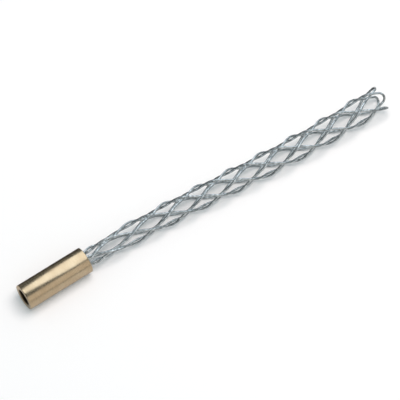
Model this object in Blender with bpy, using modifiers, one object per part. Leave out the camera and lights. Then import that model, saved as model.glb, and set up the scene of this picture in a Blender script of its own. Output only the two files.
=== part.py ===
# Cable pulling grip: a brass sleeve with a threaded mouth, and a tube woven from four
# wire ropes that shrinks onto a cable when it is pulled.
#
# The grip lies on the ground. The sleeve points along X with its threaded mouth at the
# low end, Z is up, and the tube drifts a little towards -Y. Stations are distances along
# the grip from the threaded face. Angles round the tube start at the top and turn
# towards -Y. All lengths are in metres.

import math

import bpy
from mathutils import Vector

# Brass sleeve
SLEEVE_DIAMETER = 0.0100
SLEEVE_LENGTH = 0.0270
SLEEVE_EDGE = 0.0003            # rounding of the outer edges
THREAD_BORE_DIAMETER = 0.0050   # tapping size of an M6 thread
THREAD_BORE_DEPTH = 0.0100
THREAD_COUNTERSINK = 0.0068     # width of the countersink at the threaded face
DRILL_POINT_SLOPE = math.radians(31.0)
ROPE_BORE_DEPTH = 0.0120
ROPE_BORE_CHAMFER = 0.0004
SLEEVE_FACETS = 48
EDGE_STEPS = 3                  # facets across each rounded edge

# Wire ropes
ROPE_COUNT = 4
ROPE_DIAMETER = 0.0009
RING_GAP = 0.0009               # between neighbouring legs in the sleeve
CROSSING_GAP = 0.0002           # between the two legs of each crossing
BORE_CLEARANCE = 0.0003         # between the legs and the sleeve's rope bore
POINT_SPACING = 0.0017          # along each rope's path
ROPE_PROFILE_STEPS = 2          # bevel resolution: eight sides

# Woven tube
PITCH_AT_SLEEVE = 0.0521        # length in which a rope goes once round the tube
PITCH_GROWTH = 0.0223           # of the pitch, for each length of tube
CROSSINGS = 17                  # crossings on each leg, past the one in the neck
TWIST_SETTLING = 0.0137         # length over which the legs reach their full twist
NECK_LEAD = 0.0020              # how far inside the sleeve the legs start to turn
NECK_LENGTH = 0.0065            # length scale of the turn to their first crossing
BORE_AT_SLEEVE = 0.0048         # clear width inside the tube near the sleeve
BORE_AT_MOUTH = 0.00665         # clear width inside the tube at its mouth
SPREAD_LENGTH = 0.0045          # length scale of the spread behind the sleeve
LOOP_LEAD_ANGLE = math.radians(20.0)  # run from the last crossing to each mouth loop
LOOP_POINTS = 9

# The way the grip lies
SIDE_DRIFT = 0.0068             # sideways, from the sleeve's line to the mouth
DRIFT_LENGTH = 0.1158
SETTLE_LENGTH = 0.0300          # in which the tube comes down onto the ground

# Solder that holds the rope ends
SOLDER_GAP = 0.0002             # to the ropes and to the bore
SOLDER_DISC = 0.0015            # thickness of the disc behind the rope ends
SOLDER_NOSE = 0.0006            # how far its rod stands out between the legs
SOLDER_FACETS = 24
NOSE_STEPS = 4                  # facets along the domed nose

# How finely the shapes are worked out
MERGE_DISTANCE = 0.00001
LINE_STEP = 0.0005              # half the stretch that gives the middle line's direction
HALVINGS = 60
REACH_STEPS = 24

# Angles that the weave is built on
LEG_COUNT = 2 * ROPE_COUNT
LEG_STEP = 2 * math.pi / LEG_COUNT
FIRST_ROW = -LEG_STEP / 2       # a row of crossings where the forward legs lie outside

# Sizes that follow from the ones above
ROPE_RADIUS = ROPE_DIAMETER / 2
SLEEVE_RADIUS = SLEEVE_DIAMETER / 2
WAVE_HEIGHT = (ROPE_DIAMETER + CROSSING_GAP) / 2
LEG_RING_RADIUS = (ROPE_DIAMETER + RING_GAP) / (2 * math.sin(LEG_STEP / 2))
ROPE_BORE_RADIUS = LEG_RING_RADIUS + ROPE_RADIUS + BORE_CLEARANCE
ROPE_BORE_FLOOR = SLEEVE_LENGTH - ROPE_BORE_DEPTH
ROPE_START = ROPE_BORE_FLOOR + SOLDER_DISC + 2 * SOLDER_GAP
NECK_START = SLEEVE_LENGTH - NECK_LEAD
LAST_CROSSING_TWIST = LEG_STEP / 2 + (CROSSINGS - 1) * LEG_STEP


def clear_scene():
    for old in list(bpy.data.objects):
        bpy.data.objects.remove(old, do_unlink=True)


def make_material(name, colour, roughness, metallic):
    material = bpy.data.materials.new(name)
    material.use_nodes = True
    shader = material.node_tree.nodes["Principled BSDF"]
    shader.inputs["Base Color"].default_value = (*colour, 1.0)
    shader.inputs["Roughness"].default_value = roughness
    shader.inputs["Metallic"].default_value = metallic
    return material


def ease(share):
    # goes smoothly from 0 to 1
    held = min(max(share, 0.0), 1.0)
    return (1 - math.cos(math.pi * held)) / 2


def wound_length(station):
    # length of tube wound at the full pitch that gives the same twist
    run = max(station - SLEEVE_LENGTH, 0.0)
    return run - TWIST_SETTLING * (1 - math.exp(-run / TWIST_SETTLING))


def pitch(station):
    return PITCH_AT_SLEEVE + PITCH_GROWTH * wound_length(station)


def twist(station):
    # angle that a leg has turned; inside the sleeve it is one leg step short of zero, and
    # the legs make up that step in the neck of the tube
    wound = 2 * math.pi * math.log(pitch(station) / PITCH_AT_SLEEVE) / PITCH_GROWTH
    run = max(station - NECK_START, 0.0)
    return wound - LEG_STEP * math.exp(-(run / NECK_LENGTH) ** 2)


def station_at_twist(angle):
    # the twist only grows along the grip, so halving a range finds its station
    last_pitch = PITCH_AT_SLEEVE * math.exp(PITCH_GROWTH * angle / (2 * math.pi))
    wound = (last_pitch - PITCH_AT_SLEEVE) / PITCH_GROWTH
    low = SLEEVE_LENGTH
    high = SLEEVE_LENGTH + TWIST_SETTLING + wound
    for _ in range(HALVINGS):
        middle = (low + high) / 2
        if twist(middle) < angle:
            low = middle
        else:
            high = middle
    return (low + high) / 2


LAST_CROSSING = station_at_twist(LAST_CROSSING_TWIST)


def mean_radius(station):
    # radius of the weave's middle surface
    run = max(station - SLEEVE_LENGTH, 0.0)
    share = run / (LAST_CROSSING - SLEEVE_LENGTH)
    bore = BORE_AT_SLEEVE + share * (BORE_AT_MOUTH - BORE_AT_SLEEVE)
    full = bore / 2 + ROPE_RADIUS + WAVE_HEIGHT
    spread = 1 - math.exp(-run / SPREAD_LENGTH) * (1 + run / SPREAD_LENGTH)
    return LEG_RING_RADIUS + spread * (full - LEG_RING_RADIUS)


def reach_below(station):
    # how far the weave reaches below its own middle, at its lowest row of crossings
    radius = mean_radius(station)
    reaches = []
    for step in range(REACH_STEPS + 1):
        aside = LEG_STEP * (step / REACH_STEPS - 0.5)
        wave = WAVE_HEIGHT * math.cos(ROPE_COUNT * (math.pi + aside - FIRST_ROW))
        reaches.append((radius + abs(wave)) * math.cos(aside))
    return max(reaches) + ROPE_RADIUS


def tube_middle(station):
    run = station - SLEEVE_LENGTH
    side = -SIDE_DRIFT * ease(run / DRIFT_LENGTH)
    settled = ease(run / SETTLE_LENGTH)
    height = SLEEVE_RADIUS + settled * (reach_below(station) - SLEEVE_RADIUS)
    return Vector((station, side, height))


def on_tube(station, angle, radius):
    # a point beside the tube's middle line, square to that line
    ahead = tube_middle(station + LINE_STEP)
    behind = tube_middle(station - LINE_STEP)
    forward = (ahead - behind).normalized()
    across = forward.cross(Vector((0, 0, 1))).normalized()
    upward = across.cross(forward)
    outward = math.cos(angle) * upward + math.sin(angle) * across
    return tube_middle(station) + radius * outward


def leg_point(hand, last_angle, station):
    # hand is 1 for a leg that turns with the angle and -1 for one that turns against it;
    # last_angle is where the leg makes its last crossing
    angle = last_angle - hand * (LAST_CROSSING_TWIST - twist(station))
    wave = hand * WAVE_HEIGHT * math.cos(ROPE_COUNT * (angle - FIRST_ROW))
    return on_tube(station, angle, mean_radius(station) + wave)


def leg_points(hand, last_angle):
    # from the rope's end in the sleeve to the leg's last crossing
    run = LAST_CROSSING - NECK_START
    count = round(run / POINT_SPACING)
    points = [leg_point(hand, last_angle, ROPE_START)]
    for index in range(count + 1):
        station = NECK_START + run * index / count
        points.append(leg_point(hand, last_angle, station))
    return points


def loop_points(row):
    # from the forward leg's last crossing at this row, round the mouth, to the
    # returning leg's crossing at the next row of the same kind
    quarter = 2 * LEG_STEP
    lead = station_at_twist(LAST_CROSSING_TWIST + LOOP_LEAD_ANGLE)
    radius = mean_radius(lead)
    slope = math.atan(2 * math.pi * radius / pitch(lead))
    chord = radius * (quarter - 2 * LOOP_LEAD_ANGLE)
    bend = chord / (2 * math.cos(slope))
    points = []
    for index in range(LOOP_POINTS):
        heading = slope + (math.pi - 2 * slope) * index / (LOOP_POINTS - 1)
        angle = row + quarter / 2 - bend * math.cos(heading) / radius
        station = lead + bend * (math.sin(heading) - math.sin(slope))
        wave = WAVE_HEIGHT * math.cos(ROPE_COUNT / 2 * (angle - row))
        points.append(on_tube(station, angle, mean_radius(lead) + wave))
    return points


def rope_path(row):
    # one rope: a forward leg, a loop at the mouth and a returning leg
    forward_leg = leg_points(1, row)
    returning_leg = leg_points(-1, row + 2 * LEG_STEP)
    returning_leg.reverse()
    return forward_leg + loop_points(row) + returning_leg


def add_rope(name, row, material, collection, parent):
    points = rope_path(row)
    curve = bpy.data.curves.new(name, "CURVE")
    curve.dimensions = "3D"
    curve.fill_mode = "FULL"
    curve.bevel_depth = ROPE_RADIUS
    curve.bevel_resolution = ROPE_PROFILE_STEPS
    curve.use_fill_caps = True
    spline = curve.splines.new("POLY")
    spline.points.add(len(points) - 1)
    for target, point in zip(spline.points, points):
        target.co = (*point, 1.0)
    curve.materials.append(material)
    rope = bpy.data.objects.new(name, curve)
    rope.parent = parent
    collection.objects.link(rope)
    return rope


def rounded_corner(x, z, size, start):
    # points of a quarter circle inside the outer corner at (x, z)
    points = []
    for index in range(EDGE_STEPS + 1):
        angle = start - math.pi / 2 * index / EDGE_STEPS
        corner_x = x - size + size * math.cos(angle)
        corner_z = z - math.copysign(size, z) + size * math.sin(angle)
        points.append((corner_x, corner_z))
    return points


def sleeve_profile():
    # half section of the sleeve about its own axis, threaded face at the top: x is the
    # radius and z runs from +half to -half of the length
    half = SLEEVE_LENGTH / 2
    thread_radius = THREAD_BORE_DIAMETER / 2
    countersink_radius = THREAD_COUNTERSINK / 2
    point_depth = thread_radius * math.tan(DRILL_POINT_SLOPE)
    thread_floor = half - THREAD_BORE_DEPTH
    rope_floor = ROPE_BORE_DEPTH - half
    points = [(0.0, thread_floor - point_depth)]
    points.append((thread_radius, thread_floor))
    points.append((thread_radius, half - (countersink_radius - thread_radius)))
    points.append((countersink_radius, half))
    points += rounded_corner(SLEEVE_RADIUS, half, SLEEVE_EDGE, math.pi / 2)
    points += rounded_corner(SLEEVE_RADIUS, -half, SLEEVE_EDGE, 0.0)
    points.append((ROPE_BORE_RADIUS + ROPE_BORE_CHAMFER, -half))
    points.append((ROPE_BORE_RADIUS, ROPE_BORE_CHAMFER - half))
    points.append((ROPE_BORE_RADIUS, rope_floor))
    points.append((0.0, rope_floor))
    return points


def solder_profile():
    # half section of the solder about its own axis: a disc on the floor of the rope
    # bore at the top, and a rod with a domed nose down between the legs
    rod_radius = LEG_RING_RADIUS - ROPE_RADIUS - SOLDER_GAP
    disc_radius = ROPE_BORE_RADIUS - SOLDER_GAP
    top = SLEEVE_LENGTH / 2 - ROPE_BORE_FLOOR - SOLDER_GAP
    nose = -SLEEVE_LENGTH / 2 - SOLDER_NOSE
    points = [(0.0, top), (disc_radius, top)]
    points.append((disc_radius, top - SOLDER_DISC))
    points.append((rod_radius, top - SOLDER_DISC))
    for index in range(NOSE_STEPS + 1):
        angle = math.pi / 2 * index / NOSE_STEPS
        drop = rod_radius * math.sin(angle) - rod_radius
        points.append((rod_radius * math.cos(angle), nose - drop))
    points[-1] = (0.0, nose)
    return points


def add_turned(name, profile, facets, material, collection, parent):
    # the profile is turned about Z, and the object lays that axis along X
    mesh = bpy.data.meshes.new(name)
    vertices = [(x, 0.0, z) for x, z in profile]
    edges = [(index, index + 1) for index in range(len(profile) - 1)]
    mesh.from_pydata(vertices, edges, [])
    mesh.materials.append(material)
    turned = bpy.data.objects.new(name, mesh)
    collection.objects.link(turned)
    turned.parent = parent
    turned.location = (SLEEVE_LENGTH / 2, 0.0, SLEEVE_RADIUS)
    turned.rotation_euler = (0.0, -math.pi / 2, 0.0)
    screw = turned.modifiers.new("turn", "SCREW")
    screw.axis = "Z"
    screw.steps = facets
    screw.render_steps = facets
    screw.use_merge_vertices = True
    screw.merge_threshold = MERGE_DISTANCE
    screw.use_smooth_shade = True
    return turned


def stand_on_origin(parent, parts):
    # puts the origin under the middle of the grip, at ground level
    bpy.context.view_layer.update()
    depsgraph = bpy.context.evaluated_depsgraph_get()
    corners = []
    for part in parts:
        shape = part.evaluated_get(depsgraph)
        mesh = shape.to_mesh()
        corners += [shape.matrix_world @ vertex.co for vertex in mesh.vertices]
        shape.to_mesh_clear()
    low = [min(corner[axis] for corner in corners) for axis in range(3)]
    high = [max(corner[axis] for corner in corners) for axis in range(3)]
    parent.location = (-(low[0] + high[0]) / 2, -(low[1] + high[1]) / 2, -low[2])
    bpy.context.view_layer.update()


def main():
    clear_scene()
    collection = bpy.data.collections.new("cable_pulling_grip")
    bpy.context.scene.collection.children.link(collection)
    parent = bpy.data.objects.new("grip_origin", None)
    collection.objects.link(parent)

    brass = make_material("turned_brass", (0.60, 0.45, 0.24), 0.35, 1.0)
    steel = make_material("galvanised_wire_rope", (0.52, 0.56, 0.58), 0.4, 1.0)
    solder = make_material("tin_solder", (0.62, 0.62, 0.60), 0.45, 1.0)

    parts = [
        add_turned("threaded_sleeve", sleeve_profile(), SLEEVE_FACETS, brass,
                   collection, parent),
        add_turned("solder_anchor", solder_profile(), SOLDER_FACETS, solder,
                   collection, parent),
    ]
    for index in range(ROPE_COUNT):
        row = FIRST_ROW + 2 * LEG_STEP * index
        name = "wire_rope_" + str(index + 1)
        parts.append(add_rope(name, row, steel, collection, parent))
    stand_on_origin(parent, parts)


main()
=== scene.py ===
import math

import bpy
from mathutils import Matrix, Vector


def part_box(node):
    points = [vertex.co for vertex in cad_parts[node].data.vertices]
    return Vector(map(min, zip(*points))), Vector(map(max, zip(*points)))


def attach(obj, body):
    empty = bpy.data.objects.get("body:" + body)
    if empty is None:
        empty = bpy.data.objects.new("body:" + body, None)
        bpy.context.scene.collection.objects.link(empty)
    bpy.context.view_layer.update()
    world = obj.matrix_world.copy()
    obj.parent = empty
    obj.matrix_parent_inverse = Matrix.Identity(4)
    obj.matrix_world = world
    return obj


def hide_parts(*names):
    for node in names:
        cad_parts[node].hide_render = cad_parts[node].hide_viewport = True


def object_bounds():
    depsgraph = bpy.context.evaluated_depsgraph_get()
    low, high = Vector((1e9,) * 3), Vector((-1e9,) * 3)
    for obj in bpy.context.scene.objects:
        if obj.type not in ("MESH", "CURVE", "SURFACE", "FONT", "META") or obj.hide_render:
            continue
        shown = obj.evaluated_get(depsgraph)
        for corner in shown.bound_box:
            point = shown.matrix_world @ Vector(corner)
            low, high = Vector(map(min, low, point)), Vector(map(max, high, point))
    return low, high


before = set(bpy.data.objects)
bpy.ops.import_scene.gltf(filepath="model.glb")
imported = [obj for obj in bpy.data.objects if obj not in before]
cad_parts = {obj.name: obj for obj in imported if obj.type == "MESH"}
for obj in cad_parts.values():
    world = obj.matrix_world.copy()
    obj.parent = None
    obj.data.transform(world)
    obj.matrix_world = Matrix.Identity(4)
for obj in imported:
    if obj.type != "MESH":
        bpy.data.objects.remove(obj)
cadLow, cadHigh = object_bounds()
print("frame loaded")

# The grip lies along X with its threaded face at the low end. Stations are distances
# along it from that face, and angles round it start at the top and turn towards -Y.
# All lengths are in metres.
sleeveLow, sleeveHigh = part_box("threaded_sleeve")
sleeveLength = sleeveHigh[0] - sleeveLow[0]
sleeveRadius = (sleeveHigh[1] - sleeveLow[1]) / 2
sleeveFace = Vector((
    sleeveLow[0],
    (sleeveLow[1] + sleeveHigh[1]) / 2,
    (sleeveLow[2] + sleeveHigh[2]) / 2,
))
alongX = (0.0, math.pi / 2, 0.0)


def deselectAll():
    if bpy.context.mode != "OBJECT":
        bpy.ops.object.mode_set(mode="OBJECT")
    bpy.ops.object.select_all(action="DESELECT")


def pickOnly(piece):
    deselectAll()
    piece.select_set(True)
    bpy.context.view_layer.objects.active = piece


def closeEnds(piece, mostSides):
    # caps the open ends and points all faces outwards
    pickOnly(piece)
    bpy.ops.object.mode_set(mode="EDIT")
    bpy.ops.mesh.select_all(action="SELECT")
    bpy.ops.mesh.fill_holes(sides=mostSides)
    bpy.ops.mesh.select_all(action="SELECT")
    bpy.ops.mesh.normals_make_consistent(inside=False)
    bpy.ops.object.mode_set(mode="OBJECT")


def finishPiece(piece, node, material, smoothAngle):
    pickOnly(piece)
    bpy.ops.object.transform_apply(location=True, rotation=True, scale=True)
    bpy.ops.object.shade_smooth_by_angle(angle=math.radians(smoothAngle))
    piece.data.materials.clear()
    piece.data.materials.append(material)
    if node:
        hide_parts(node)
    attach(piece, "root")


def turnRings(name, rings, segments):
    # a circle about the sleeve's axis, extruded and widened from ring to ring
    deselectAll()
    station, radius = rings[0]
    bpy.ops.mesh.primitive_circle_add(
        vertices=segments, radius=radius, rotation=alongX,
        location=sleeveFace + Vector((station, 0, 0)))
    turned = bpy.context.object
    turned.name = name
    bpy.ops.object.transform_apply(location=True, rotation=True, scale=True)
    bpy.ops.object.mode_set(mode="EDIT")
    bpy.ops.mesh.select_all(action="SELECT")
    for nextStation, nextRadius in rings[1:]:
        growth = nextRadius / radius
        bpy.ops.mesh.extrude_edges_move()
        bpy.ops.transform.translate(value=(nextStation - station, 0, 0))
        bpy.ops.transform.resize(
            value=(1, growth, growth),
            center_override=sleeveFace + Vector((nextStation, 0, 0)))
        station = nextStation
        radius = nextRadius
    bpy.ops.object.mode_set(mode="OBJECT")
    closeEnds(turned, segments)
    return turned


# Materials
def startMaterial(name):
    material = bpy.data.materials.new(name)
    material.use_nodes = True
    tree = material.node_tree
    return material, tree, tree.nodes["Principled BSDF"]


def startMetal(name):
    material, tree, shader = startMaterial(name)
    shader.inputs["Metallic"].default_value = 1.0
    return material, tree, shader


def addNode(tree, kind, **settings):
    node = tree.nodes.new(kind)
    for setting, value in settings.items():
        setattr(node, setting, value)
    return node


def feed(tree, socket, value):
    # the value is a number, a colour or another node's output
    if isinstance(value, bpy.types.NodeSocket):
        tree.links.new(value, socket)
    elif isinstance(value, tuple):
        socket.default_value = (*value, 1)
    else:
        socket.default_value = value


def addMath(tree, operation, *values):
    node = addNode(tree, "ShaderNodeMath", operation=operation)
    for socket, value in zip(node.inputs, values):
        feed(tree, socket, value)
    return node.outputs[0]


def addNoise(tree, where, scale, detail, dimensions="3D"):
    noise = addNode(tree, "ShaderNodeTexNoise", noise_dimensions=dimensions)
    target = "W" if dimensions == "1D" else "Vector"
    feed(tree, noise.inputs[target], where)
    feed(tree, noise.inputs["Scale"], scale)
    feed(tree, noise.inputs["Detail"], detail)
    return noise.outputs["Fac"]


def addBlend(tree, share, fromColour, toColour):
    blend = addNode(tree, "ShaderNodeMix", data_type="RGBA")
    feed(tree, blend.inputs["Factor"], share)
    feed(tree, blend.inputs["A"], fromColour)
    feed(tree, blend.inputs["B"], toColour)
    return blend.outputs["Result"]


def addRange(tree, value, span, newSpan):
    # carries the span's two ends over to the new span's
    change = addNode(tree, "ShaderNodeMapRange")
    feed(tree, change.inputs["Value"], value)
    ends = ("From Min", "From Max", "To Min", "To Max")
    for end, level in zip(ends, span + newSpan):
        feed(tree, change.inputs[end], level)
    return change.outputs["Result"]


def addBump(tree, shader, height, strength, depth):
    bump = addNode(tree, "ShaderNodeBump")
    feed(tree, bump.inputs["Strength"], strength)
    feed(tree, bump.inputs["Distance"], depth)
    feed(tree, bump.inputs["Height"], height)
    feed(tree, shader.inputs["Normal"], bump.outputs["Normal"])


# Scales are in waves per metre. A span gives the noise levels between which a change
# happens, and roughness goes from a patch's smoothest to its roughest.
wholeShare = (0.0, 1.0)
brassLook = {
    "clean": (0.80, 0.63, 0.42),
    "dulled": (0.72, 0.54, 0.34),
    "patchScale": 260.0,
    "patchDetail": 4.0,
    "dullingSpan": (0.35, 0.75),
    "grooveScale": 9000.0,        # of the marks that the turning tool left
    "grooveDetail": 3.0,
    "grooveDepth": 0.000003,
    "grooveStrength": 0.25,
    "roughnessSpan": (0.35, 0.65),
    "roughness": (0.20, 0.34),
    # painted shade: the brass inside the threaded and rope holes is coloured dark for the
    # shade in them
    "paintedHoleShade": (0.10, 0.075, 0.05),
    "holeRadius": 0.00315,        # all brass nearer the axis is inside a hole and gets the painted shade
    "holeShadeFade": 0.0003,           # over which the painted shade in the holes passes into the faces
}


def makeBrass():
    material, tree, shader = startMetal("turnedBrass")
    place = addNode(tree, "ShaderNodeTexCoord").outputs["Object"]
    centred = addNode(tree, "ShaderNodeMapping", vector_type="TEXTURE")
    centred.inputs["Location"].default_value = sleeveFace
    feed(tree, centred.inputs["Vector"], place)
    split = addNode(tree, "ShaderNodeSeparateXYZ")
    feed(tree, split.inputs[0], centred.outputs[0])
    sideways = addMath(tree, "POWER", split.outputs["Y"], 2.0)
    upwards = addMath(tree, "POWER", split.outputs["Z"], 2.0)
    radius = addMath(tree, "SQRT", addMath(tree, "ADD", sideways, upwards))
    travel = addMath(tree, "ADD", split.outputs["X"], radius)  # of the turning tool
    grooves = addNoise(tree, travel, brassLook["grooveScale"],
                       brassLook["grooveDetail"], "1D")
    patches = addNoise(tree, centred.outputs[0], brassLook["patchScale"],
                       brassLook["patchDetail"])

    dulling = addRange(tree, patches, brassLook["dullingSpan"], wholeShare)
    outside = addBlend(tree, dulling, brassLook["clean"], brassLook["dulled"])
    # painted shade: brass nearer the axis than the hole radius is coloured dark, for the
    # shade inside the holes
    holeShadeEnd = brassLook["holeRadius"] + brassLook["holeShadeFade"]
    outOfHoleShade = addRange(tree, radius, (brassLook["holeRadius"], holeShadeEnd), wholeShare)
    colour = addBlend(tree, outOfHoleShade, brassLook["paintedHoleShade"], outside)
    feed(tree, shader.inputs["Base Color"], colour)
    both = addMath(tree, "ADD", patches, grooves)
    mean = addMath(tree, "MULTIPLY", both, 0.5)
    roughness = addRange(tree, mean, brassLook["roughnessSpan"], brassLook["roughness"])
    feed(tree, shader.inputs["Roughness"], roughness)
    addBump(tree, shader, grooves, brassLook["grooveStrength"], brassLook["grooveDepth"])
    return material


steelLook = {
    "bright": (0.89, 0.94, 0.95),
    "dull": (0.36, 0.40, 0.415),
    "patchScale": 900.0,
    "patchDetail": 3.0,
    "dullingSpan": (0.35, 0.7),
    "roughnessSpan": (0.3, 0.7),
    "roughness": (0.13, 0.26),
    "grainScale": 9000.0,
    "grainDetail": 2.0,
    "grainDepth": 0.000004,
    "grainStrength": 0.20,
}


def makeSteel():
    material, tree, shader = startMetal("galvanisedSteel")
    place = addNode(tree, "ShaderNodeTexCoord").outputs["Object"]
    patches = addNoise(tree, place, steelLook["patchScale"], steelLook["patchDetail"])
    grain = addNoise(tree, place, steelLook["grainScale"], steelLook["grainDetail"])
    dulling = addRange(tree, patches, steelLook["dullingSpan"], wholeShare)
    colour = addBlend(tree, dulling, steelLook["bright"], steelLook["dull"])
    feed(tree, shader.inputs["Base Color"], colour)
    roughness = addRange(tree, patches, steelLook["roughnessSpan"], steelLook["roughness"])
    feed(tree, shader.inputs["Roughness"], roughness)
    addBump(tree, shader, grain, steelLook["grainStrength"], steelLook["grainDepth"])
    return material


solderLook = {
    "bright": (0.72, 0.72, 0.70),
    "dull": (0.46, 0.46, 0.44),
    "patchScale": 1100.0,
    "patchDetail": 4.0,
    "roughnessSpan": (0.3, 0.7),
    "roughness": (0.32, 0.55),
}


def makeTin():
    material, tree, shader = startMetal("tinSolder")
    place = addNode(tree, "ShaderNodeTexCoord").outputs["Object"]
    patches = addNoise(tree, place, solderLook["patchScale"], solderLook["patchDetail"])
    colour = addBlend(tree, patches, solderLook["bright"], solderLook["dull"])
    feed(tree, shader.inputs["Base Color"], colour)
    roughness = addRange(tree, patches, solderLook["roughnessSpan"], solderLook["roughness"])
    feed(tree, shader.inputs["Roughness"], roughness)
    return material


# Threaded sleeve
sleeve = {
    "segments": 96,
    "boreRadius": 0.00302,        # at the roots of the M6 thread
    "boreDepth": 0.0100,
    "drillPoint": 0.0017,
    "countersinkRadius": 0.0034,
    "ropeBoreRadius": 0.00312,
    "ropeBoreDepth": 0.0120,
    "edge": 0.00022,              # rounding of every edge
    "edgeSegments": 3,
    "edgeAngle": 25,              # in degrees, from which on an edge is rounded
    "smoothAngle": 30,
}


def makeSleeve(material):
    point = sleeve["edge"]  # radius of the drill's blunt tip
    widening = sleeve["countersinkRadius"] - sleeve["boreRadius"]
    rings = [
        (sleeve["boreDepth"] + sleeve["drillPoint"], point),
        (sleeve["boreDepth"], sleeve["boreRadius"]),
        (widening, sleeve["boreRadius"]),
        (0.0, sleeve["countersinkRadius"]),
        (0.0, sleeveRadius),
        (sleeveLength, sleeveRadius),
        (sleeveLength, sleeve["ropeBoreRadius"]),
        (sleeveLength - sleeve["ropeBoreDepth"], sleeve["ropeBoreRadius"]),
        (sleeveLength - sleeve["ropeBoreDepth"], point),
    ]
    body = turnRings("brassSleeve", rings, sleeve["segments"])
    pickOnly(body)
    rounding = body.modifiers.new("rounding", "BEVEL")
    rounding.width = sleeve["edge"]
    rounding.segments = sleeve["edgeSegments"]
    rounding.limit_method = "ANGLE"
    rounding.angle_limit = math.radians(sleeve["edgeAngle"])
    bpy.ops.object.modifier_apply(modifier=rounding.name)
    finishPiece(body, "threaded_sleeve", material, sleeve["smoothAngle"])
    print("sleeve modelled")


thread = {
    "start": 0.00095,             # middle of the first ridge, from the threaded face
    "pitch": 0.0010,
    "turns": 8,
    "rootRadius": 0.00306,        # a little inside the sleeve's wall
    "crestRadius": 0.00246,
    "rootWidth": 0.00090,
    "crestWidth": 0.00022,
    "stepsPerTurn": 48,
    "smoothAngle": 20,
}


def makeThread(material):
    # one ridge section, narrower at its crest, screwed along the axis
    deselectAll()
    height = thread["rootRadius"] - thread["crestRadius"]
    bpy.ops.mesh.primitive_plane_add(
        size=1, location=sleeveFace + Vector((thread["start"], 0, 0)),
        rotation=(math.pi / 2, 0, 0))
    ridge = bpy.context.object
    ridge.name = "innerThread"
    bpy.ops.object.transform_apply(location=False, rotation=True, scale=True)
    bpy.ops.object.mode_set(mode="EDIT")
    bpy.ops.mesh.select_all(action="SELECT")
    centre = ridge.location
    bpy.ops.transform.resize(value=(thread["rootWidth"], 1, height), center_override=centre)
    bpy.ops.transform.translate(value=(0, 0, thread["crestRadius"] + height / 2))
    bpy.ops.mesh.delete(type="ONLY_FACE")
    bpy.ops.mesh.select_all(action="DESELECT")
    bpy.ops.object.mode_set(mode="OBJECT")
    for vertex in ridge.data.vertices:
        vertex.select = vertex.co.z < thread["crestRadius"] + height / 2
    bpy.ops.object.mode_set(mode="EDIT")
    narrowing = thread["crestWidth"] / thread["rootWidth"]
    bpy.ops.transform.resize(value=(narrowing, 1, 1), center_override=centre)
    bpy.ops.object.mode_set(mode="OBJECT")
    screw = ridge.modifiers.new("screw", "SCREW")
    screw.axis = "X"
    screw.angle = 2 * math.pi
    screw.screw_offset = thread["pitch"]
    screw.iterations = thread["turns"]
    screw.steps = thread["stepsPerTurn"]
    screw.render_steps = thread["stepsPerTurn"]
    bpy.ops.object.modifier_apply(modifier=screw.name)
    closeEnds(ridge, 4)  # the ridge's section has four sides
    finishPiece(ridge, None, material, thread["smoothAngle"])
    print("thread modelled")


# Woven tube: the same middle lines as the four CAD ropes
weave = {
    "ropes": 4,
    "ropeRadius": 0.00045,
    "ringGap": 0.0009,            # between neighbouring legs in the sleeve
    "crossingGap": 0.0002,        # between the two legs of each crossing
    "pitchAtSleeve": 0.0521,      # length in which a rope goes once round the tube
    "pitchGrowth": 0.0223,        # of the pitch, for each length of tube
    "crossings": 17,              # on each leg, past the one in the neck
    "twistSettling": 0.0137,      # length over which the legs reach their full twist
    "neckLead": 0.0020,           # how far inside the sleeve the legs start to turn
    "neckLength": 0.0065,         # length scale of the turn to their first crossing
    "boreAtSleeve": 0.0048,
    "boreAtMouth": 0.00665,
    "spreadLength": 0.0045,       # length scale of the spread behind the sleeve
    "loopLead": math.radians(20), # run from the last crossing to each mouth loop
    "sideDrift": 0.0068,          # sideways, from the sleeve's line to the mouth
    "driftLength": 0.1158,
    "settleLength": 0.0300,       # in which the tube comes down onto the ground
    "ropeStart": 0.0169,          # station of the rope ends in the sleeve
    "spacing": 0.0005,            # between the points of a rope's middle line
    "loopPoints": 33,
}
legStep = math.pi / weave["ropes"]
firstRow = -legStep / 2
waveHeight = weave["ropeRadius"] + weave["crossingGap"] / 2
ringRadius = (2 * weave["ropeRadius"] + weave["ringGap"]) / (2 * math.sin(legStep / 2))
lastCrossingTwist = legStep / 2 + (weave["crossings"] - 1) * legStep
reachSteps = 24                   # angles at which the tube's reach is tried
halvings = 50                     # of the range in which a station is sought


def ease(share):
    # goes smoothly from 0 to 1
    held = min(max(share, 0.0), 1.0)
    return (1 - math.cos(math.pi * held)) / 2


def pitch(station):
    run = max(station - sleeveLength, 0.0)
    settling = weave["twistSettling"]
    wound = run - settling * (1 - math.exp(-run / settling))
    return weave["pitchAtSleeve"] + weave["pitchGrowth"] * wound


def twist(station):
    # one leg step short of zero in the sleeve, made up in the neck of the tube
    growth = weave["pitchGrowth"]
    wound = 2 * math.pi * math.log(pitch(station) / weave["pitchAtSleeve"]) / growth
    run = max(station - (sleeveLength - weave["neckLead"]), 0.0)
    return wound - legStep * math.exp(-(run / weave["neckLength"]) ** 2)


def stationAtTwist(angle):
    # the twist only grows along the grip, so halving a range finds its station
    growth = weave["pitchGrowth"]
    lastPitch = weave["pitchAtSleeve"] * math.exp(growth * angle / (2 * math.pi))
    wound = (lastPitch - weave["pitchAtSleeve"]) / growth
    low = sleeveLength
    high = sleeveLength + weave["twistSettling"] + wound
    for _ in range(halvings):
        middle = (low + high) / 2
        if twist(middle) < angle:
            low = middle
        else:
            high = middle
    return (low + high) / 2


lastCrossing = stationAtTwist(lastCrossingTwist)


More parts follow.
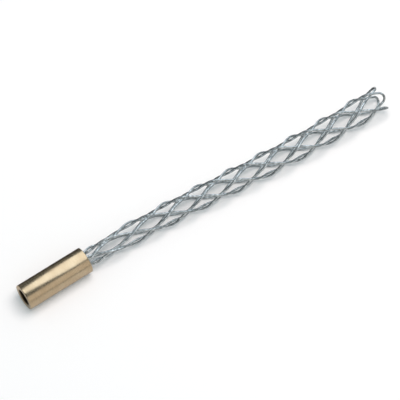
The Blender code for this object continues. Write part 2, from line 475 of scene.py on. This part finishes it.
def meanRadius(station):
    # of the weave's middle surface
    run = max(station - sleeveLength, 0.0)
    share = run / (lastCrossing - sleeveLength)
    bore = weave["boreAtSleeve"] + share * (weave["boreAtMouth"] - weave["boreAtSleeve"])
    full = bore / 2 + weave["ropeRadius"] + waveHeight
    scaled = run / weave["spreadLength"]
    return ringRadius + (1 - math.exp(-scaled) * (1 + scaled)) * (full - ringRadius)


def reachBelow(station):
    # how far the weave reaches below its own middle
    radius = meanRadius(station)
    reaches = []
    for step in range(reachSteps + 1):
        aside = legStep * (step / reachSteps - 0.5)
        wave = abs(waveHeight * math.cos(weave["ropes"] * (math.pi + aside - firstRow)))
        reaches.append((radius + wave) * math.cos(aside))
    return max(reaches) + weave["ropeRadius"]


def tubeMiddle(station):
    run = station - sleeveLength
    side = -weave["sideDrift"] * ease(run / weave["driftLength"])
    settled = ease(run / weave["settleLength"])
    drop = settled * (reachBelow(station) - sleeveRadius)
    return sleeveFace + Vector((station, side, drop))


def onTube(station, angle, radius):
    # a point beside the tube's middle line, square to that line
    ahead = tubeMiddle(station + weave["spacing"])
    behind = tubeMiddle(station - weave["spacing"])
    forward = (ahead - behind).normalized()
    across = forward.cross(Vector((0, 0, 1))).normalized()
    upward = across.cross(forward)
    outward = math.cos(angle) * upward + math.sin(angle) * across
    return tubeMiddle(station) + radius * outward


def legPoint(hand, lastAngle, station):
    # the hand is 1 for a leg that turns with the angle and -1 for one against it
    angle = lastAngle - hand * (lastCrossingTwist - twist(station))
    wave = hand * waveHeight * math.cos(weave["ropes"] * (angle - firstRow))
    return onTube(station, angle, meanRadius(station) + wave)


def legPoints(hand, lastAngle):
    # from the rope's end in the sleeve to the leg's last crossing
    run = lastCrossing - weave["ropeStart"]
    count = round(run / weave["spacing"])
    stations = [weave["ropeStart"] + run * index / count for index in range(count + 1)]
    return [legPoint(hand, lastAngle, station) for station in stations]


def loopPoints(row):
    # round the mouth, from one leg's last crossing to the other's
    lead = stationAtTwist(lastCrossingTwist + weave["loopLead"])
    radius = meanRadius(lead)
    slope = math.atan(2 * math.pi * radius / pitch(lead))
    chord = radius * 2 * (legStep - weave["loopLead"])
    bend = chord / (2 * math.cos(slope))
    points = []
    for index in range(weave["loopPoints"]):
        heading = slope + (math.pi - 2 * slope) * index / (weave["loopPoints"] - 1)
        angle = row + legStep - bend * math.cos(heading) / radius
        station = lead + bend * (math.sin(heading) - math.sin(slope))
        wave = waveHeight * math.cos(weave["ropes"] / 2 * (angle - row))
        points.append(onTube(station, angle, radius + wave))
    return points


def ropePoints(row):
    forwardLeg = legPoints(1, row)
    returningLeg = legPoints(-1, row + 2 * legStep)
    returningLeg.reverse()
    return forwardLeg + loopPoints(row) + returningLeg


# Wire rope: six outer wires laid round a core and pressed close together
layUp = {
    "outerWires": 6,
    "facetsPerWire": 6,
    "groove": 0.16,               # depth between two wires, as a share of the radius
    "lay": 0.0075,                # length in which a wire goes once round its rope
    "stepsPerLay": 24,
    "smoothAngle": 50,
}


def straightRope(turns):
    # as modelled: along X from the origin, ready to follow a middle line
    deselectAll()
    sides = layUp["outerWires"] * layUp["facetsPerWire"]
    bpy.ops.mesh.primitive_circle_add(
        vertices=sides, radius=weave["ropeRadius"], rotation=alongX)
    rope = bpy.context.object
    rope.name = "straightRope"
    bpy.ops.object.transform_apply(location=True, rotation=True, scale=True)
    for vertex in rope.data.vertices:
        angle = math.atan2(vertex.co.z, vertex.co.y)
        dip = 1 - abs(math.cos(layUp["outerWires"] / 2 * angle))
        vertex.co *= 1 - layUp["groove"] * dip ** 2
    screw = rope.modifiers.new("lay", "SCREW")
    screw.axis = "X"
    screw.angle = 2 * math.pi
    screw.screw_offset = layUp["lay"]
    screw.iterations = turns
    screw.steps = layUp["stepsPerLay"]
    screw.render_steps = layUp["stepsPerLay"]
    bpy.ops.object.modifier_apply(modifier=screw.name)
    closeEnds(rope, sides)
    return rope


def pathLength(points):
    return sum((b - a).length for a, b in zip(points, points[1:]))


def makeMiddleLine(points):
    line = bpy.data.curves.new("middleLine", "CURVE")
    line.dimensions = "3D"
    spline = line.splines.new("POLY")
    spline.points.add(len(points) - 1)
    for target, point in zip(spline.points, points):
        target.co = (*point, 1.0)
    route = bpy.data.objects.new("middleLine", line)
    bpy.context.scene.collection.objects.link(route)
    return route


def makeRopes(material):
    routes = [ropePoints(firstRow + 2 * legStep * index) for index in range(weave["ropes"])]
    turns = round(pathLength(routes[0]) / layUp["lay"])
    pattern = straightRope(turns)
    for index, points in enumerate(routes):
        pickOnly(pattern)
        bpy.ops.object.duplicate(linked=False)
        rope = bpy.context.object
        rope.name = "wireRope" + str(index + 1)
        stretch = pathLength(points) / (turns * layUp["lay"])
        bpy.ops.transform.resize(value=(stretch, 1, 1), center_override=(0, 0, 0))
        bpy.ops.object.transform_apply(location=True, rotation=True, scale=True)
        route = makeMiddleLine(points)
        follow = rope.modifiers.new("follow", "CURVE")
        follow.object = route
        follow.deform_axis = "POS_X"
        bpy.ops.object.modifier_apply(modifier=follow.name)
        bpy.data.objects.remove(route, do_unlink=True)
        node = "wire_rope_" + str(index + 1)
        finishPiece(rope, node, material, layUp["smoothAngle"])
    bpy.data.objects.remove(pattern, do_unlink=True)
    print("ropes modelled")


# Solder that fills the sleeve's rope bore round the legs
solder = {
    "depth": 0.0007,              # of its face behind the sleeve's end
    "length": 0.0090,
    "radius": 0.00313,
    "crown": 0.00035,             # how far its wavy face stands out
    "rimHeight": 0.9,             # of its rim, as a share of the crown
    "crestAt": 0.3,               # where the face is highest, as a share of the radius
    "ringsAt": (0.85, 0.7, 0.5, 0.3, 0.1),
    "segments": 64,
    "smoothAngle": 50,
}


def makeSolder(material):
    face = sleeveLength - solder["depth"]
    rings = [
        (face - solder["length"], solder["crown"]),
        (face - solder["length"], solder["radius"]),
        (face + solder["crown"] * solder["rimHeight"], solder["radius"]),
    ]
    for share in solder["ringsAt"]:
        wave = math.cos(math.pi * (share - solder["crestAt"]))
        rings.append((face + solder["crown"] * wave, solder["radius"] * share))
    fill = turnRings("solderFill", rings, solder["segments"])
    finishPiece(fill, "solder_anchor", material, solder["smoothAngle"])
    print("solder modelled")


brass = makeBrass()
steel = makeSteel()
tin = makeTin()
print("metals mixed")
makeSleeve(brass)
makeThread(brass)
makeSolder(tin)
makeRopes(steel)

# Floor, light and camera
studio = {
    "floorSize": 3.0,
    "floorColour": (0.90, 0.90, 0.90),
    "floorInMetal": (0.58, 0.58, 0.58),  # as the metal's reflections show it
    "floorLift": 0.10,            # light that only the camera sees, to whiten the floor
    "worldColour": (0.86, 1.0, 1.05),    # cool, but white to the camera
    "worldLevel": 0.50,           # as it lights the floor
    "worldInMetal": 0.10,         # as the metal's reflections show it
    "cardWidth": 0.40,            # of the dark card behind the grip, seen in metal only
    "cardLevel": 0.04,
    "cardHeight": 0.0002,
}
# Two lamps shine on the metal alone, and the third throws the shadow on the floor.
lamps = {
    "overhead": {
        "place": (0.20, 0.20, 0.50), "size": (0.8, 0.8), "power": 2.4,
        "colour": (0.94, 1.0, 1.06), "inMetal": True, "onFloor": False,
    },
    "front": {
        "place": (0.0, -0.75, 0.45), "size": (1.2, 0.8), "power": 1.5,
        "colour": (1.0, 0.93, 0.86), "inMetal": True, "onFloor": False,
    },
    "shadow": {
        "place": (0.14, 0.02, 0.70), "size": (0.50, 0.50), "power": 3.2,
        "colour": (1.12, 1.0, 0.96), "inMetal": False, "onFloor": True,
    },
}


def makeFloor():
    deselectAll()
    bpy.ops.mesh.primitive_plane_add(size=studio["floorSize"])
    floor = bpy.context.object
    floor.name = "floor"
    material, tree, shader = startMaterial("paleFloor")
    tree.nodes.remove(shader)
    rays = addNode(tree, "ShaderNodeLightPath")
    paint = addNode(tree, "ShaderNodeBsdfDiffuse")
    seen = addBlend(tree, rays.outputs["Is Glossy Ray"],
                    studio["floorColour"], studio["floorInMetal"])
    feed(tree, paint.inputs["Color"], seen)
    glow = addNode(tree, "ShaderNodeEmission")
    strength = addMath(tree, "MULTIPLY", rays.outputs["Is Camera Ray"], studio["floorLift"])
    feed(tree, glow.inputs["Strength"], strength)
    both = addNode(tree, "ShaderNodeAddShader")
    feed(tree, both.inputs[0], paint.outputs[0])
    feed(tree, both.inputs[1], glow.outputs[0])
    feed(tree, tree.nodes["Material Output"].inputs["Surface"], both.outputs[0])
    floor.data.materials.append(material)


def makeCard():
    # a dark card on the floor behind the grip, which only the metal shows
    deselectAll()
    middle = (0, sleeveFace.y + studio["cardWidth"] / 2, studio["cardHeight"])
    bpy.ops.mesh.primitive_plane_add(size=1, location=middle)
    card = bpy.context.object
    card.name = "darkCard"
    bpy.ops.transform.resize(value=(cadHigh.x - cadLow.x, studio["cardWidth"], 1))
    bpy.ops.object.transform_apply(location=True, rotation=True, scale=True)
    material, tree, shader = startMaterial("darkCard")
    level = studio["cardLevel"]
    shader.inputs["Base Color"].default_value = (level, level, level, 1)
    shader.inputs["Roughness"].default_value = 1.0
    card.data.materials.append(material)
    card.visible_camera = False
    card.visible_diffuse = False
    card.visible_shadow = False


def makeWorld():
    world = bpy.data.worlds.new("studioWorld")
    bpy.context.scene.world = world
    world.use_nodes = True
    tree = world.node_tree
    background = tree.nodes["Background"]
    rays = addNode(tree, "ShaderNodeLightPath")
    colour = addBlend(tree, rays.outputs["Is Camera Ray"], studio["worldColour"], (1, 1, 1))
    feed(tree, background.inputs["Color"], colour)
    glossyDrop = studio["worldInMetal"] - studio["worldLevel"]
    cameraLift = 1 - studio["worldLevel"]
    forGlossy = addMath(tree, "MULTIPLY", rays.outputs["Is Glossy Ray"], glossyDrop)
    forCamera = addMath(tree, "MULTIPLY", rays.outputs["Is Camera Ray"], cameraLift)
    change = addMath(tree, "ADD", forGlossy, forCamera)
    level = addMath(tree, "ADD", change, studio["worldLevel"])
    feed(tree, background.inputs["Strength"], level)


def makeLamp(name, values):
    light = bpy.data.lights.new(name, "AREA")
    light.shape = "RECTANGLE"
    light.size, light.size_y = values["size"]
    light.energy = values["power"]
    light.color = values["colour"]
    lamp = bpy.data.objects.new(name, light)
    lamp.location = values["place"]
    lamp.rotation_euler = Vector(values["place"]).to_track_quat("Z", "Y").to_euler()
    lamp.visible_glossy = values["inMetal"]
    lamp.visible_diffuse = values["onFloor"]
    bpy.context.scene.collection.objects.link(lamp)


camera = {
    "elevation": math.radians(63.8),
    "turn": math.radians(34.45),     # of the picture's right from X, towards -Y
    "distance": 1.300,               # to the picture's middle, at the sleeve's height
    "imageSize": 400,
    "focalPixels": 3532.0,
    "facePixel": (23.6, 297.7),      # where the sleeve's threaded face is seen
    "sensorWidth": 36.0,
    "nearest": 0.1,                  # nothing nearer than this is seen
}


def makeCamera():
    right = Vector((math.cos(camera["turn"]), -math.sin(camera["turn"]), 0))
    onFloor = Vector((math.sin(camera["turn"]), math.cos(camera["turn"]), 0))
    upright = Vector((0, 0, 1))
    aim = onFloor * math.cos(camera["elevation"]) - upright * math.sin(camera["elevation"])
    up = right.cross(aim)
    middle = camera["imageSize"] / 2
    pixelX, pixelY = camera["facePixel"]
    ray = aim + right * (pixelX - middle) / camera["focalPixels"]
    ray += up * (middle - pixelY) / camera["focalPixels"]
    height = camera["distance"] * math.sin(camera["elevation"])
    place = sleeveFace - ray * height / -ray.z
    lens = bpy.data.cameras.new("camera")
    lens.sensor_width = camera["sensorWidth"]
    lens.lens = camera["focalPixels"] * camera["sensorWidth"] / camera["imageSize"]
    lens.clip_start = camera["nearest"]
    eye = bpy.data.objects.new("camera", lens)
    turned = Matrix((right, up, -aim)).transposed().to_4x4()
    eye.matrix_world = Matrix.Translation(place) @ turned
    bpy.context.scene.collection.objects.link(eye)
    bpy.context.scene.camera = eye


makeFloor()
makeCard()
makeWorld()
for name, values in lamps.items():
    makeLamp(name, values)
makeCamera()
bpy.context.scene.view_settings.view_transform = "Standard"
print("studio ready")

bpy.context.view_layer.update()
